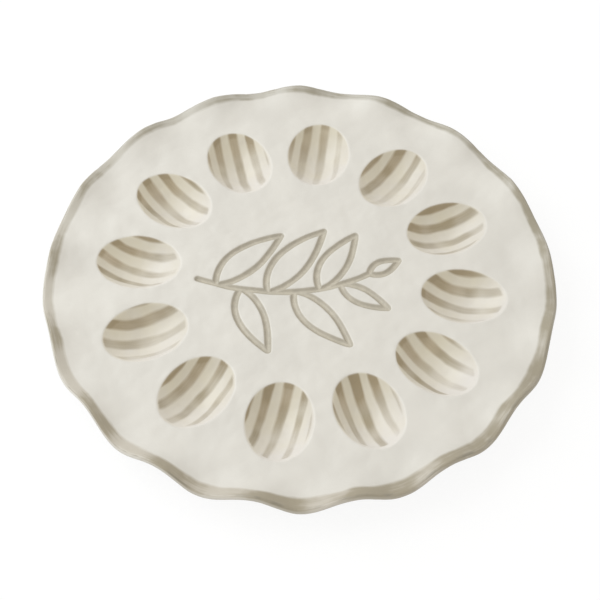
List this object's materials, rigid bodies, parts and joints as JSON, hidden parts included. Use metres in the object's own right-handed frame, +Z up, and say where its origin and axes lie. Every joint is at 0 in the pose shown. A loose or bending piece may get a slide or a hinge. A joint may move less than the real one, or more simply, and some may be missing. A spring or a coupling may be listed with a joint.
{
  "type": "egg tray",
  "caption": "Round glazed stoneware tray with a ring of oval striped wells for egg halves, a flat deck, a ruffled flange with a painted lip and a foot ring underneath.",
  "frame": {"origin": "centre of the foot ring's sole, on the table", "axes": "+Z up out of the wells; +Y from the centre to egg_well_01; +X to its right seen from above"},
  "size_m": [0.3165, 0.3168, 0.0272],
  "materials": {
    "white_glaze": "soft glossy warm white glaze",
    "taupe_glaze": "brushed taupe under a clear glaze",
    "striped_glaze": "cream glaze with brushed taupe stripes",
    "bare_clay": "unglazed matt clay"
  },
  "bodies": {
    "root": {"egg_well_01": "striped_glaze", "egg_well_02": "striped_glaze", "egg_well_03": "striped_glaze", "egg_well_04": "striped_glaze", "egg_well_05": "striped_glaze", "egg_well_06": "striped_glaze", "egg_well_07": "striped_glaze", "egg_well_08": "striped_glaze", "egg_well_09": "striped_glaze", "egg_well_10": "striped_glaze", "egg_well_11": "striped_glaze", "egg_well_12": "striped_glaze", "tray_deck": "white_glaze", "rim_band": "taupe_glaze", "foot_ring": "bare_clay"}
  },
  "joints": []
}
